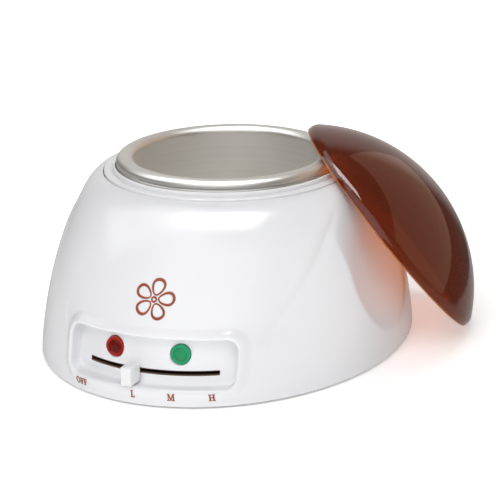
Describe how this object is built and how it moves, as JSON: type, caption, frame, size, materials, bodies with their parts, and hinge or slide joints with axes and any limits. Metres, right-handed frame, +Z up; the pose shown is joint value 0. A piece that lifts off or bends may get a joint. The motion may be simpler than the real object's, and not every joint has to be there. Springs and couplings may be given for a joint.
{
  "type": "wax warmer",
  "caption": "Oval white table-top wax warmer with a heated aluminium well, a front slide control with signal lamps, and a loose brown domed lid leaning on its rim.",
  "frame": {"origin": "underside of the base plate, on the vertical axis of the heating well", "axes": "+Z up out of the well, -Y towards the control panel, +X to the right seen from the front"},
  "size_m": [0.2323, 0.2484, 0.1131],
  "materials": {
    "housing_plastic": "glossy white moulded plastic",
    "collar_plastic": "glossy white moulded plastic",
    "knob_plastic": "satin white moulded plastic",
    "lid_plastic": "glossy see-through brown plastic",
    "red_lens": "clear red plastic lens",
    "green_lens": "clear green plastic lens",
    "well_aluminium": "satin spun aluminium",
    "shield_aluminium": "plain sheet",
    "steel": "plated steel",
    "base_plastic": "matt dark grey plastic",
    "rubber": "matt black rubber",
    "mica": "pressed mica sheet",
    "bakelite": "dark phenolic moulding",
    "board": "green laminate board",
    "lamp_glass": "clear glass",
    "brass": "plain turned brass",
    "lead_black": "black insulated wire",
    "lead_red": "red insulated wire"
  },
  "bodies": {
    "warmer": {"housing": "housing_plastic", "collar_ring": "collar_plastic", "heating_well": "well_aluminium", "heater_band": "mica", "band_clamp": "steel", "clamp_screw": "steel", "heat_shield": "shield_aluminium", "well_standoff_1": "brass", "well_standoff_2": "brass", "well_standoff_3": "brass", "thermal_fuse": "steel", "fuse_clip": "steel", "thermostat_body": "bakelite", "thermostat_bracket": "steel", "red_lens": "red_lens", "green_lens": "green_lens", "red_glow_lamp": "lamp_glass", "green_glow_lamp": "lamp_glass", "lamp_board": "board", "terminal_block": "bakelite", "mains_gland": "bakelite", "supply_lead_live": "lead_black", "supply_lead_neutral": "lead_red", "thermostat_lead": "lead_red", "heater_lead": "lead_black", "lamp_lead": "lead_red", "base_plate": "base_plastic", "base_screw_1": "steel", "base_screw_2": "steel", "base_screw_3": "steel", "base_screw_4": "steel", "rubber_foot_1": "rubber", "rubber_foot_2": "rubber", "rubber_foot_3": "rubber", "rubber_foot_4": "rubber"},
    "control": {"thermostat_spindle": "brass", "control_lever": "steel", "lever_nut": "brass", "slider_knob": "knob_plastic"},
    "lid": {"lid_dome": "lid_plastic"}
  },
  "joints": [
    {"name": "heat_control", "type": "hinge", "parent": "warmer", "child": "control", "pos_m": [0, -0.041, 0.0154], "axis": [0, 0, 1], "range_deg": [-21, 32]},
    {"name": "lid_lift", "type": "slide", "parent": "warmer", "child": "lid", "axis": [0.7171, 0.3268, 0.6157], "range_m": [0, 0.11]}
  ]
}
